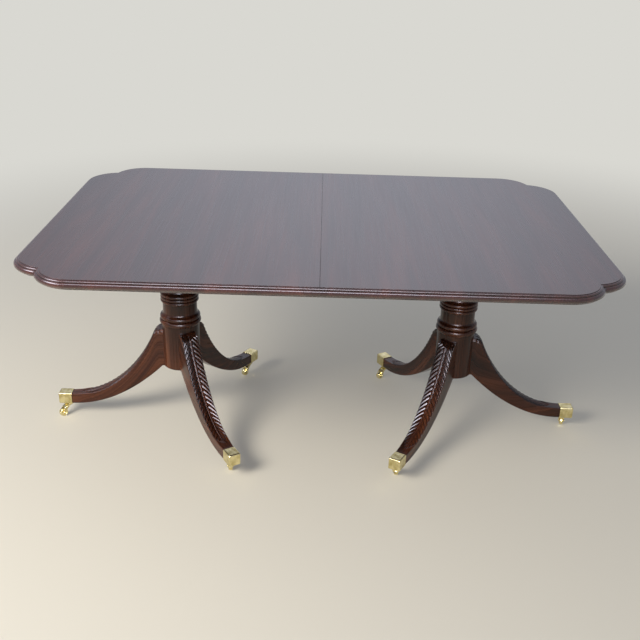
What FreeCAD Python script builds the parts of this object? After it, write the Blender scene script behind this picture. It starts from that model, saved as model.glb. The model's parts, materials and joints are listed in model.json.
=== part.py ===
import FreeCAD
import Part

import math
import os

from FreeCAD import Vector

# A double-pedestal extension dining table, closed, with its origin on the floor below the middle joint.
# X runs along the table, Y runs across it towards the back, Z is up. Millimetres and degrees.

# Whole table
table_height = 750.0
top_length = 1722.0
top_width = 1190.0
pedestal_offset = 470.0
joint_gap = 0.8

# Clearances shared by all pieces
fixed_gap = 0.1
running_gap = 0.08
sliding_gap = 0.4
turning_gap = 0.3
overrun = 5.0

# Shaped corners: where the straight edge ends and how far the notch goes in, from the square corner
corner_run = 195.0
corner_notch = 84.0

# Moulded edge of the top, from the flat field down to the underside
edge_band = 26.0
reed_width = 7.0
reed_quirk = 1.8
reed_rise = 1.2
reed_fall = 2.0
bead_quirk = 2.4
bead_radius = 8.5
lower_fillet = 2.2
cove_run = 9.0
cove_drop = 4.6
cove_middle_shares = (0.62, 0.38)

# Alignment pins in the joint edge
pin_radius = 5.0
pin_seat = 24.0
pin_reach = 20.0
pin_nose = 3.0
pin_row_shares = (-0.38, -0.15, 0.15, 0.38)

# Extension slides
rail_length = 900.0
rail_width = 24.0
rail_height = 50.0
rail_offset = 215.0
rail_relief = 0.9
tongue_root = 12.0
tongue_tip = 18.0
tongue_depth = 8.0
rail_screw_inset = 7.8
rail_screw_shares = (0.25, 0.55, 0.85)

# Block that ties a column to the top
block_width = 290.0
block_height = 32.0
block_bevel = 12.0
block_screw_inset = 40.0

# Turned column, from the drum that holds the legs up to the block
drum_bottom = 216.0
drum_radius = 63.0
drum_height = 158.5
drum_bevel = 2.0
lower_ring_seat = 65.0
lower_ring_radius = 70.0
lower_ring_height = 18.5
upper_ring_seat = 63.0
upper_ring_radius = 67.5
upper_ring_height = 16.0
flare_radius = 61.0
flare_height = 9.0
shaft_radius = 57.5
shaft_height = 35.6
reed_seat = 60.5
reed_radius = 64.0
reed_height = 11.5
reed_count = 3
upper_flare_height = 16.0
upper_base_radius = 53.0
upper_neck_radius = 45.0
collar_seat = 48.0
collar_radius = 54.0
collar_height = 16.0
cap_radius = 60.0
cap_height = 14.0
tenon_radius = 24.0
tenon_length = 26.0

# Sabre leg, in the plane of its own column: radius from the column's axis and height
shoulder_step = 20.5
shoulder_run = 30.0
shoulder_drop = 20.0
heel_rise = 1.0
heel_angle = 45.0
upper_root_pull = 115.0
upper_toe_pull = 155.0
lower_root_pull = 100.0
lower_toe_pull = 140.0
leg_root_width = 58.0
leg_middle_width = 51.0
toe_radius = 392.0
toe_top = 88.0
toe_height = 36.0
toe_width = 36.0

# Dovetail that slides each leg into the drum from below
dovetail_depth = 22.0
dovetail_mouth = 18.0
dovetail_back = 26.0
dovetail_set_down = 24.0

# Retaining plate under the drum
plate_radius = 50.0
plate_thickness = 3.0
plate_lobe_radius = 14.0
plate_screw_circle = 38.0

# Brass cup on the toe
cup_length = 46.0
cup_wall = 2.2
cup_bevel = 1.4
cup_screw_inset = 32.0

# Swivelling caster below the cup
swivel_inset = 14.0
stem_radius = 4.0
stem_length = 22.0
pad_radius = 11.0
pad_thickness = 4.0
horn_half_length = 8.5
horn_edge = 4.0
caster_trail = 27.0
fork_arm = 3.0
horn_outer_shares = (0.78, 0.58)
horn_inner_shares = (0.80, 0.45)
axle_boss_radius = 5.5
wheel_radius = 15.0
wheel_width = 13.0
wheel_crown = 1.5
wheel_top_gap = 2.5
hub_radius = 6.0
hub_recess = 1.5
rim_thickness = 3.5
axle_radius = 2.5
axle_head_radius = 4.0
axle_head_height = 1.4

# Table locks under the joint
lock_offset = 330.0
lock_pivot_inset = 30.0
lock_plate = 2.5
lock_base_length = 58.0
lock_base_width = 34.0
lock_stud_radius = 4.0
lock_head_radius = 7.5
lock_head_height = 2.0
lever_thickness = 7.0
lever_hub_radius = 10.0
lever_arm_width = 10.0
hook_inner = 46.0
hook_thickness = 6.0
hook_length = 22.0
handle_length = 66.0
handle_width = 14.0
keeper_plate = 1.8
keeper_length = 30.0
keeper_width = 40.0
post_radius = 4.0
post_reach = 40.0

# Wood screws
top_screw_shank = 2.4
top_screw_head = 5.0
top_screw_head_height = 3.0
top_screw_bite = 14.0
small_screw_shank = 1.8
small_screw_head = 3.6
small_screw_head_height = 2.2
plate_screw_length = 24.0
cup_screw_length = 14.0
lock_screw_length = 16.0

# Sizes that follow
corner_radius = ((corner_run - corner_notch) ** 2 + corner_notch ** 2) / (2 * corner_notch)
bead_top = reed_quirk + reed_fall + bead_quirk
bead_middle = bead_top + bead_radius
bead_bottom = bead_top + 2 * bead_radius
top_thickness = bead_bottom + lower_fillet + cove_drop
underside = table_height - top_thickness
block_bottom = underside - block_height
drum_top = drum_bottom + drum_height
shoulder_height = drum_top - shoulder_step
dovetail_top = shoulder_height - dovetail_set_down
toe_bottom = toe_top - toe_height
cup_bottom = toe_bottom - fixed_gap - cup_wall
fork_top = cup_bottom - turning_gap
swivel_radius = toe_radius + swivel_inset
fork_half_gap = wheel_width / 2 + turning_gap
fork_half_width = fork_half_gap + fork_arm
lock_plate_bottom = underside - lock_plate
keeper_bottom = underside - keeper_plate
lever_top = lock_plate_bottom - turning_gap
lever_bottom = lever_top - lever_thickness
top_screw = (top_screw_shank, top_screw_head, top_screw_head_height)
small_screw = (small_screw_shank, small_screw_head, small_screw_head_height)
top_screw_length = block_height + top_screw_bite

# Legs of the two pedestals: side, name, direction of the leg and heading of its caster
legs = (
    ("left", "outer", 180, 222),
    ("left", "front", 300, 100),
    ("left", "back", 60, 238),
    ("right", "outer", 0, 70),
    ("right", "front", 240, 95),
    ("right", "back", 120, 222),
)
side_signs = {"left": -1, "right": 1}
lock_faces = {"left": lock_plate_bottom, "right": keeper_bottom}
row_signs = {"front": -1, "back": 1}
z_axis = Vector(0, 0, 1)
origin = Vector(0, 0, 0)


def closed_wire(start, steps):
    """Closed wire from start: a step of one point is a line, of two an arc, of three a Bezier curve."""
    edges = []
    here = start
    for step in steps:
        if len(step) == 1:
            edges.append(Part.makeLine(here, step[0]))
        elif len(step) == 2:
            edges.append(Part.Arc(here, step[0], step[1]).toShape())
        else:
            curve = Part.BezierCurve()
            curve.setPoles([here] + list(step))
            edges.append(curve.toShape())
        here = step[-1]
    edges.append(Part.makeLine(here, start))
    return Part.Wire(edges)


def prism(points, thickness):
    """Straight-sided solid: the polygon through the points, extruded by the vector thickness."""
    return Part.Face(Part.makePolygon(points + points[:1])).extrude(thickness)


def box(x_low, x_high, y_low, y_high, z_low, z_high):
    """Box between two corners."""
    return Part.makeBox(x_high - x_low, y_high - y_low, z_high - z_low, Vector(x_low, y_low, z_low))


def upright(x, y, z_low, z_high, radius):
    """Vertical cylinder."""
    return Part.makeCylinder(radius, z_high - z_low, Vector(x, y, z_low))


def screw(x, y, z_head, length, sizes, gap=0):
    """Countersunk wood screw driven upwards from z_head; with a gap it is the tool that cuts its hole."""
    shank, head, height = sizes
    cone = Part.makeCone(head + gap, shank + gap, height, Vector(x, y, z_head))
    return cone.fuse(upright(x, y, z_head, z_head + length + gap, shank + gap))


def drill(shape, spots, z_head, length, sizes, counterbore=0):
    """Shape with screw holes at the spots, each opened below the head over the depth counterbore."""
    for x, y in spots:
        shape = shape.cut(screw(x, y, z_head, length, sizes, fixed_gap))
        below = upright(x, y, z_head - counterbore - overrun, z_head, sizes[1] + fixed_gap)
        shape = shape.cut(below)
    return shape


def screws(spots, z_head, length, sizes):
    """Group of separate screws."""
    return Part.makeCompound([screw(x, y, z_head, length, sizes) for x, y in spots])


def placed(shape, x, y, angle):
    """Copy of a shape turned about the vertical axis and moved."""
    copy = shape.copy()
    copy.rotate(origin, z_axis, angle)
    copy.translate(Vector(x, y, 0))
    return copy


def leg_point(side, angle, radius):
    """Plan position at a radius along a leg of one pedestal."""
    x = side_signs[side] * pedestal_offset + radius * math.cos(math.radians(angle))
    return x, radius * math.sin(math.radians(angle))


def moulded_slab(reach, width):
    """Half of a round-cornered slab, from the joint out to reach, with the moulded edge swept round it."""
    low = -width / 2
    start_x = joint_gap / 2
    far_x = reach - corner_radius
    near_y = width / 2 - corner_radius
    diagonal = corner_radius * math.sqrt(0.5)

    def at_edge(inset, depth):
        return Vector(start_x, low + inset, table_height - depth)

    field_edge = bead_radius + reed_width
    cove_top = bead_bottom + lower_fillet
    cove_middle = at_edge(bead_radius + cove_run * cove_middle_shares[0],
                          cove_top + cove_drop * cove_middle_shares[1])
    profile = closed_wire(at_edge(edge_band, 0), [
        (at_edge(field_edge, 0),),
        (at_edge(field_edge, reed_quirk),),
        (at_edge(bead_radius + reed_width / 2, reed_quirk + reed_fall / 2 - reed_rise),
         at_edge(bead_radius, reed_quirk + reed_fall)),
        (at_edge(bead_radius, bead_top),),
        (at_edge(0, bead_middle), at_edge(bead_radius, bead_bottom)),
        (at_edge(bead_radius, cove_top),),
        (cove_middle, at_edge(bead_radius + cove_run, top_thickness)),
        (at_edge(edge_band, top_thickness),),
    ])

    def outline(inset):
        """Edges from the joint round both corners and back to the joint, at an inset from the edge."""
        bend = diagonal - inset * math.sqrt(0.5)
        side_y = width / 2 - inset
        end_x = reach - inset

        def at(x, y):
            return Vector(x, y, table_height)

        return [
            Part.makeLine(at(start_x, -side_y), at(far_x, -side_y)),
            Part.Arc(at(far_x, -side_y), at(far_x + bend, -near_y - bend), at(end_x, -near_y)).toShape(),
            Part.makeLine(at(end_x, -near_y), at(end_x, near_y)),
            Part.Arc(at(end_x, near_y), at(far_x + bend, near_y + bend), at(far_x, side_y)).toShape(),
            Part.makeLine(at(far_x, side_y), at(start_x, side_y)),
        ]

    edging = Part.Wire(outline(0)).makePipeShell([profile], True, False)
    inner = outline(edge_band)
    inner.append(Part.makeLine(inner[-1].Vertexes[-1].Point, inner[0].Vertexes[0].Point))
    field = Part.Face(Part.Wire(inner)).extrude(Vector(0, 0, -top_thickness))
    return field.fuse(edging).removeSplitter()


def half_top():
    """Right half of the top: a wide slab and a long slab whose round corners meet in the notches."""
    wide = moulded_slab(top_length / 2 - corner_run + corner_radius, top_width)
    long = moulded_slab(top_length / 2, top_width - 2 * (corner_run - corner_radius))
    return wide.fuse(long).removeSplitter()


def pin_spots():
    """Places of the alignment pins across the joint."""
    return [share * top_width for share in pin_row_shares]


def joint_pin(y, radius, left_end, right_end, nose):
    """Pin along the table through the joint, with a conical nose."""
    middle = Vector(left_end, y, underside + top_thickness / 2)
    along = Vector(1, 0, 0)
    shank = Part.makeCylinder(radius, right_end - nose - left_end, middle, along)
    tip = Vector(right_end - nose, y, middle.z)
    return shank.fuse(Part.makeCone(radius, radius - nose / 2, nose, tip, along)).removeSplitter()


def rail(side, row):
    """Outer rail (left half) or inner rail (right half) of one slide, with its dovetail groove."""
    sign = row_signs[row]
    outward = -side_signs[side]
    face = rail_offset + outward * (rail_width / 2 + sliding_gap)
    back = face + outward * rail_width
    deep = face + outward * (tongue_depth + sliding_gap)
    top = underside - rail_relief
    middle = underside - rail_height / 2
    mouth = tongue_root / 2 + sliding_gap
    bottom = tongue_tip / 2 + sliding_gap
    start = -rail_length / 2
    body = box(start, -start, min(face, back), max(face, back), underside - rail_height, top)
    groove = prism([
        Vector(start, face, middle - mouth),
        Vector(start, face, middle + mouth),
        Vector(start, deep, middle + bottom),
        Vector(start, deep, middle - bottom),
    ], Vector(rail_length, 0, 0))
    ends = sorted((side_signs[side] * joint_gap / 2, side_signs[side] * rail_length / 2))
    pad = box(ends[0], ends[1], min(face, back), max(face, back), top, underside)
    shape = body.cut(groove).fuse(pad).removeSplitter()
    if sign < 0:
        shape = shape.mirror(origin, Vector(0, 1, 0))
    return drill(shape, rail_spots(side, row), block_bottom, top_screw_length, top_screw,
                 rail_height - block_height)


def rail_spots(side, row):
    """Screw places of a rail, on the half that carries it."""
    outward = -side_signs[side]
    y = rail_offset + outward * (rail_width * 3 / 2 + sliding_gap - rail_screw_inset)
    return [(side_signs[side] * share * rail_length / 2, row_signs[row] * y) for share in rail_screw_shares]


def centre_rail(row):
    """Middle rail of one slide, with a dovetail tongue on each side."""
    top = underside - rail_relief
    middle = underside - rail_height / 2
    start = -rail_length / 2
    shape = box(start, -start, rail_offset - rail_width / 2, rail_offset + rail_width / 2,
                underside - rail_height, top)
    for outward in (-1, 1):
        face = rail_offset + outward * rail_width / 2
        tip = face + outward * (sliding_gap + tongue_depth)
        tongue = prism([
            Vector(start, face, middle - tongue_root / 2),
            Vector(start, face, middle + tongue_root / 2),
            Vector(start, tip, middle + tongue_tip / 2),
            Vector(start, tip, middle - tongue_tip / 2),
        ], Vector(rail_length, 0, 0))
        shape = shape.fuse(tongue)
    shape = shape.removeSplitter()
    if row_signs[row] < 0:
        shape = shape.mirror(origin, Vector(0, 1, 0))
    return shape


def block_spots(side):
    """Screw places near the corners of a block."""
    reach = block_width / 2 - block_screw_inset
    centre = side_signs[side] * pedestal_offset
    return [(centre + dx, dy) for dx in (-reach, reach) for dy in (-reach, reach)]


def block(side):
    """Square block under the top, bevelled below, with a socket for the column's tenon."""
    half = block_width / 2
    body = box(-half, half, -half, half, block_bottom, underside)
    lower = [edge for edge in body.Edges if edge.BoundBox.ZMax < underside - block_height / 2]
    body = body.makeChamfer(block_bevel, lower)
    socket = upright(0, 0, block_bottom - overrun, block_bottom + tenon_length + fixed_gap,
                     tenon_radius + fixed_gap)
    shape = placed(body.cut(socket), side_signs[side] * pedestal_offset, 0, 0)
    return drill(shape, block_spots(side), block_bottom, top_screw_length, top_screw)


def ring_steps(seat, crown, low, height):
    """One turned ring: an arc that swells from the seat radius to the crown and back."""
    return (Vector(crown, 0, low + height / 2), Vector(seat, 0, low + height))


def turned_column():
    """Column turned about the vertical axis, drawn from the drum up to the tenon."""
    lower_ring_top = drum_top + lower_ring_height
    upper_ring_top = lower_ring_top + upper_ring_height
    shaft_low = upper_ring_top + flare_height
    shaft_high = shaft_low + shaft_height
    reeds_top = shaft_high + reed_count * reed_height
    cap_low = block_bottom - cap_height
    collar_low = cap_low - collar_height
    bow = math.sqrt(0.5)

    def at(radius, height):
        return Vector(radius, 0, height)

    steps = [
        (at(drum_radius - drum_bevel, drum_bottom),),
        (at(drum_radius, drum_bottom + drum_bevel),),
        (at(drum_radius, drum_top),),
        (at(lower_ring_seat, drum_top),),
        ring_steps(lower_ring_seat, lower_ring_radius, drum_top, lower_ring_height),
        (at(upper_ring_seat, lower_ring_top),),
        ring_steps(upper_ring_seat, upper_ring_radius, lower_ring_top, upper_ring_height),
        (at(flare_radius, upper_ring_top),),
        (at(flare_radius - (flare_radius - shaft_radius) * bow, shaft_low - flare_height * bow),
         at(shaft_radius, shaft_low)),
        (at(shaft_radius, shaft_high),),
        (at(reed_seat, shaft_high),),
    ]
    for number in range(reed_count):
        steps.append(ring_steps(reed_seat, reed_radius, shaft_high + number * reed_height, reed_height))
    steps += [
        (at(reed_seat - (reed_seat - upper_base_radius) * bow, reeds_top + upper_flare_height * (1 - bow)),
         at(upper_base_radius, reeds_top + upper_flare_height)),
        (at(upper_neck_radius, collar_low),),
        (at(collar_seat, collar_low),),
        ring_steps(collar_seat, collar_radius, collar_low, collar_height),
        (at(cap_radius, cap_low),),
        (at(cap_radius, block_bottom),),
        (at(tenon_radius, block_bottom),),
        (at(tenon_radius, block_bottom + tenon_length),),
        (at(0, block_bottom + tenon_length),),
    ]
    return Part.Face(closed_wire(at(0, drum_bottom), steps)).revolve(origin, z_axis, 360)


def dovetail(gap, low):
    """Tapered tongue of a leg, wider at the back; with a gap it is the tool that cuts its slot."""
    back = drum_radius - dovetail_depth - gap
    mouth = dovetail_mouth / 2 + gap
    far = dovetail_back / 2 + gap
    return prism([
        Vector(back, -far, low),
        Vector(drum_radius, -mouth, low),
        Vector(drum_radius + overrun, -mouth, low),
        Vector(drum_radius + overrun, mouth, low),
        Vector(drum_radius, mouth, low),
        Vector(back, far, low),
    ], Vector(0, 0, dovetail_top + gap - low))


def plate_spots(side):
    """Screw places of a retaining plate, between the legs."""
    angles = [angle + 180 for name, leg_name, angle, heading in legs if name == side]
    return [leg_point(side, angle, plate_screw_circle) for angle in angles]


def column(side):
    """Turned column with three dovetail slots and the holes for the retaining plate's screws."""
    shape = placed(turned_column(), side_signs[side] * pedestal_offset, 0, 0)
    slot = dovetail(fixed_gap, drum_bottom - overrun)
    for name, leg_name, angle, heading in legs:
        if name == side:
            shape = shape.cut(placed(slot, side_signs[side] * pedestal_offset, 0, angle))
    return drill(shape, plate_spots(side), drum_bottom - plate_thickness, plate_screw_length, small_screw)


def retaining_plate(side):
    """Round steel plate under the drum, with a lobe at each screw."""
    centre = side_signs[side] * pedestal_offset
    low = drum_bottom - plate_thickness
    shape = upright(centre, 0, low, drum_bottom, plate_radius)
    for x, y in plate_spots(side):
        shape = shape.fuse(upright(x, y, low, drum_bottom, plate_lobe_radius))
    shape = shape.removeSplitter()
    return drill(shape, plate_spots(side), low, plate_screw_length, small_screw)


def leg_side():
    """Outline of a leg from the side, as a slab of twice its greatest width."""
    toe_end = toe_radius + cup_length - cup_wall - fixed_gap
    inner = drum_radius - dovetail_depth
    heel = drum_bottom + heel_rise
    turn_radius = (shoulder_run ** 2 + shoulder_drop ** 2) / (2 * shoulder_drop)
    turn = math.asin(shoulder_run / turn_radius)
    half = turn / 2

    def at(radius, height):
        return Vector(radius, -leg_root_width, height)

    shoulder_middle = at(drum_radius + turn_radius * math.sin(half),
                         shoulder_height - turn_radius * (1 - math.cos(half)))
    shoulder_end = at(drum_radius + shoulder_run, shoulder_height - shoulder_drop)
    upper_pole = shoulder_end + Vector(math.cos(turn), 0, -math.sin(turn)) * upper_root_pull
    dip = math.radians(heel_angle)
    lower_pole = at(drum_radius, heel) + Vector(math.cos(dip), 0, -math.sin(dip)) * lower_root_pull
    wire = closed_wire(at(inner, shoulder_height), [
        (at(drum_radius, shoulder_height),),
        (shoulder_middle, shoulder_end),
        (upper_pole, at(toe_radius - upper_toe_pull, toe_top), at(toe_radius, toe_top)),
        (at(toe_end, toe_top),),
        (at(toe_end, toe_bottom),),
        (at(toe_radius, toe_bottom),),
        (at(toe_radius - lower_toe_pull, toe_bottom), lower_pole, at(drum_radius, heel)),
        (at(inner, heel),),
    ])
    return Part.Face(wire).extrude(Vector(0, 2 * leg_root_width, 0))


def leg_plan():
    """Outline of a leg from above, as a slab as tall as the leg: widest at the drum, narrow at the toe."""
    toe_end = toe_radius + cup_length
    inner = drum_radius - dovetail_depth
    middle = (drum_radius + toe_radius) / 2

    def at(radius, width):
        return Vector(radius, width, 0)

    wire = closed_wire(at(inner, -leg_root_width / 2), [
        (at(drum_radius, -leg_root_width / 2),),
        (at(middle, -leg_middle_width / 2), at(toe_radius, -toe_width / 2)),
        (at(toe_end, -toe_width / 2),),
        (at(toe_end, toe_width / 2),),
        (at(toe_radius, toe_width / 2),),
        (at(middle, leg_middle_width / 2), at(drum_radius, leg_root_width / 2)),
        (at(inner, leg_root_width / 2),),
    ])
    return Part.Face(wire).extrude(Vector(0, 0, table_height))


def leg():
    """Sabre leg along +X from a column on the origin, hollowed to the drum, with its dovetail tongue."""
    shape = leg_side().common(leg_plan())
    shape = shape.cut(upright(0, 0, 0, table_height, drum_radius + fixed_gap))
    shape = shape.fuse(dovetail(0, drum_bottom)).removeSplitter()
    stem_hole = upright(swivel_radius, 0, toe_bottom - overrun, fork_top + stem_length + turning_gap,
                        stem_radius + turning_gap)
    shape = shape.cut(stem_hole)
    spot = [(toe_radius + cup_screw_inset, 0)]
    return drill(shape, spot, cup_bottom, cup_screw_length, small_screw)


def cup():
    """Square brass cup, open towards the leg, with the hole that the caster's stem turns in."""
    reach = toe_width / 2 + fixed_gap
    outer = reach + cup_wall
    end = toe_radius + cup_length
    cup_top = toe_top + fixed_gap + cup_wall
    body = box(toe_radius, end, -outer, outer, cup_bottom, cup_top)
    body = body.makeChamfer(cup_bevel, [edge for edge in body.Edges if edge.BoundBox.XMax > end - cup_wall])
    hollow = box(toe_radius - overrun, end - cup_wall, -reach, reach, toe_bottom - fixed_gap,
                 toe_top + fixed_gap)
    shape = body.cut(hollow)
    shape = shape.cut(upright(swivel_radius, 0, cup_bottom - overrun, toe_bottom, stem_radius + running_gap))
    return drill(shape, [(toe_radius + cup_screw_inset, 0)], cup_bottom, cup_screw_length, small_screw)


def fork():
    """Curved horn fork with a round pad and swivel stem, trailing along +X from its stem at the origin."""
    horn_top = fork_top - pad_thickness
    horn_low = horn_top - horn_edge
    rise = horn_low - wheel_radius
    outer_run = caster_trail + axle_boss_radius - horn_half_length
    inner_run = caster_trail - axle_boss_radius + horn_half_length

    def at(trail, height):
        return Vector(trail, -fork_half_width, height)

    wire = closed_wire(at(-horn_half_length, horn_top), [
        (at(horn_half_length, horn_top),),
        (at(horn_half_length, horn_low),),
        (at(horn_half_length + outer_run * horn_outer_shares[0], wheel_radius + rise * horn_outer_shares[1]),
         at(caster_trail + axle_boss_radius, wheel_radius)),
        (at(caster_trail, wheel_radius - axle_boss_radius),
         at(caster_trail - axle_boss_radius, wheel_radius)),
        (at(-horn_half_length + inner_run * horn_inner_shares[0], wheel_radius + rise * horn_inner_shares[1]),
         at(-horn_half_length, horn_low)),
    ])
    shape = Part.Face(wire).extrude(Vector(0, 2 * fork_half_width, 0))
    slot = box(-caster_trail - wheel_radius, caster_trail + 2 * wheel_radius, -fork_half_gap, fork_half_gap,
               0, 2 * wheel_radius + wheel_top_gap)
    shape = shape.cut(slot)
    shape = shape.fuse(upright(0, 0, horn_top, fork_top, pad_radius))
    shape = shape.fuse(upright(0, 0, fork_top, fork_top + stem_length, stem_radius)).removeSplitter()
    return shape.cut(across(caster_trail, axle_radius + fixed_gap, fork_half_width + overrun))


def across(x, radius, half_length):
    """Cylinder across the caster at the height of its axle."""
    return Part.makeCylinder(radius, 2 * half_length, Vector(x, -half_length, wheel_radius), Vector(0, 1, 0))


def wheel():
    """Solid brass wheel with a crowned tread and a recessed web, on the caster's axle."""
    half = wheel_width / 2
    bore = axle_radius + running_gap
    rim = wheel_radius - wheel_crown

    def at(radius, width):
        return Vector(caster_trail + radius, width, wheel_radius)

    wire = closed_wire(at(bore, -half), [
        (at(hub_radius, -half),),
        (at(hub_radius, -half + hub_recess),),
        (at(rim - rim_thickness, -half + hub_recess),),
        (at(rim - rim_thickness, -half),),
        (at(rim, -half),),
        (at(wheel_radius, 0), at(rim, half)),
        (at(rim - rim_thickness, half),),
        (at(rim - rim_thickness, half - hub_recess),),
        (at(hub_radius, half - hub_recess),),
        (at(hub_radius, half),),
        (at(bore, half),),
    ])
    return Part.Face(wire).revolve(Vector(caster_trail, 0, wheel_radius), Vector(0, 1, 0), 360)


def axle():
    """Riveted axle pin with a head on each side of the fork."""
    shape = across(caster_trail, axle_radius, fork_half_width + axle_head_height)
    for side in (-1, 1):
        foot = Vector(caster_trail, side * fork_half_width, wheel_radius)
        head = Part.makeCone(axle_head_radius, axle_radius, axle_head_height, foot, Vector(0, side, 0))
        shape = shape.fuse(head)
    return shape.removeSplitter()


def lock_spots(side, row):
    """Screw places of a lock's base (left half) or keeper (right half)."""
    y = row_signs[row] * lock_offset
    if side == "left":
        reach = lock_base_length / 2 - lock_head_radius
        centre = -lock_pivot_inset
        return [(centre - reach, y), (centre + reach, y)]
    reach = keeper_width / 2 - lock_head_radius
    return [(keeper_x(), y - reach), (keeper_x(), y + reach)]


def keeper_x():
    """Distance of the keeper's post from the joint."""
    return post_reach - lock_pivot_inset


def lock_base(row):
    """Steel base plate with the riveted stud that the lever turns on."""
    y = row_signs[row] * lock_offset
    pivot = -lock_pivot_inset
    half = lock_base_length / 2
    shape = box(pivot - half, pivot + half, y - lock_base_width / 2, y + lock_base_width / 2,
                lock_plate_bottom, underside)
    head_top = lever_bottom - turning_gap
    shape = shape.fuse(upright(pivot, y, head_top, lock_plate_bottom, lock_stud_radius))
    shape = shape.fuse(upright(pivot, y, head_top - lock_head_height, head_top, lock_head_radius))
    shape = shape.removeSplitter()
    return drill(shape, lock_spots("left", row), lock_plate_bottom, lock_screw_length, small_screw)


def lock_lever(row):
    """Hook lever, open: its arm points at the table's middle, its hook towards the joint."""
    arm = lever_arm_width / 2
    hook_end = hook_inner + hook_thickness
    hub = upright(0, 0, lever_bottom, lever_top, lever_hub_radius)
    shape = hub.fuse(box(-arm, arm, 0, hook_end, lever_bottom, lever_top))
    shape = shape.fuse(box(-arm, hook_length, hook_inner, hook_end, lever_bottom, lever_top))
    grip = handle_width / 2
    handle = box(-handle_length, 0, -grip, grip, lever_bottom, lever_top)
    handle = handle.fuse(upright(-handle_length, 0, lever_bottom, lever_top, grip))
    shape = shape.fuse(handle).removeSplitter()
    bore = upright(0, 0, lever_bottom - overrun, lever_top + overrun, lock_stud_radius + running_gap)
    shape = shape.cut(bore)
    if row_signs[row] > 0:
        shape = shape.mirror(origin, Vector(0, 1, 0))
    return placed(shape, -lock_pivot_inset, row_signs[row] * lock_offset, 0)


def lock_keeper(row):
    """Keeper plate on the right half, with the post that the hook draws in."""
    y = row_signs[row] * lock_offset
    shape = box(joint_gap / 2, keeper_x() + keeper_length / 2, y - keeper_width / 2, y + keeper_width / 2,
                keeper_bottom, underside)
    shape = shape.fuse(upright(keeper_x(), y, lever_bottom, keeper_bottom, post_radius))
    shape = shape.removeSplitter()
    return drill(shape, lock_spots("right", row), keeper_bottom, lock_screw_length, small_screw)


def top(side):
    """One half of the top with its holes for pins and screws."""
    shape = half_top()
    if side == "left":
        shape = shape.mirror(origin, Vector(1, 0, 0))
    for y in pin_spots():
        if side == "left":
            hole = joint_pin(y, pin_radius + fixed_gap, -pin_seat - fixed_gap, pin_seat, pin_nose)
        else:
            hole = joint_pin(y, pin_radius + turning_gap, -pin_seat, pin_reach + turning_gap, pin_nose)
        shape = shape.cut(hole)
    spots = block_spots(side) + rail_spots(side, "front") + rail_spots(side, "back")
    shape = drill(shape, spots, block_bottom, top_screw_length, top_screw)
    spots = lock_spots(side, "front") + lock_spots(side, "back")
    return drill(shape, spots, lock_faces[side], lock_screw_length, small_screw)


def build():
    """All nodes of the table by name."""
    nodes = {"alignment_pins": Part.makeCompound(
        [joint_pin(y, pin_radius, -pin_seat, pin_reach, pin_nose) for y in pin_spots()])}
    for side in side_signs:
        nodes[f"top_{side}"] = top(side)
        nodes[f"{side}_block"] = block(side)
        nodes[f"{side}_column"] = column(side)
        nodes[f"{side}_retaining_plate"] = retaining_plate(side)
        spots = block_spots(side) + rail_spots(side, "front") + rail_spots(side, "back")
        nodes[f"{side}_top_screws"] = screws(spots, block_bottom, top_screw_length, top_screw)
        nodes[f"{side}_plate_screws"] = screws(plate_spots(side), drum_bottom - plate_thickness,
                                               plate_screw_length, small_screw)
        spots = [leg_point(side, angle, toe_radius + cup_screw_inset)
                 for name, leg_name, angle, heading in legs if name == side]
        nodes[f"{side}_cup_screws"] = screws(spots, cup_bottom, cup_screw_length, small_screw)
        spots = lock_spots(side, "front") + lock_spots(side, "back")
        nodes[f"{side}_lock_screws"] = screws(spots, lock_faces[side], lock_screw_length, small_screw)
    for row in row_signs:
        nodes[f"{row}_rail_left"] = rail("left", row)
        nodes[f"{row}_rail_centre"] = centre_rail(row)
        nodes[f"{row}_rail_right"] = rail("right", row)
        nodes[f"{row}_lock_base"] = lock_base(row)
        nodes[f"{row}_lock_lever"] = lock_lever(row)
        nodes[f"{row}_lock_keeper"] = lock_keeper(row)
    leg_shape = leg()
    cup_shape = cup()
    caster = {"fork": fork(), "wheel": wheel(), "axle": axle()}
    for side, name, angle, heading in legs:
        centre = side_signs[side] * pedestal_offset
        nodes[f"{side}_leg_{name}"] = placed(leg_shape, centre, 0, angle)
        nodes[f"{side}_cup_{name}"] = placed(cup_shape, centre, 0, angle)
        x, y = leg_point(side, angle, swivel_radius)
        for piece, shape in caster.items():
            nodes[f"{side}_{piece}_{name}"] = placed(shape, x, y, heading)
    return nodes


os.makedirs("parts", exist_ok=True)
for node_name, node_shape in build().items():
    node_shape.exportStep(f"parts/{node_name}.step")
    solids = node_shape.Solids
    print(node_name, len(solids), round(sum(solid.Volume for solid in solids)), node_shape.isValid())
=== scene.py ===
# %% [markdown]
# A double-pedestal dining table in polished mahogany, dressed over its imported solids.
# Every piece is in metres, in the same frame as the solids: X along the table, Y towards the back, Z up.
# The solids come in first, and their boxes give the dressed pieces their sizes.

# %% Load the solids
import json
import math

import bpy
import numpy as np
from mathutils import Matrix, Vector

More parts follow.
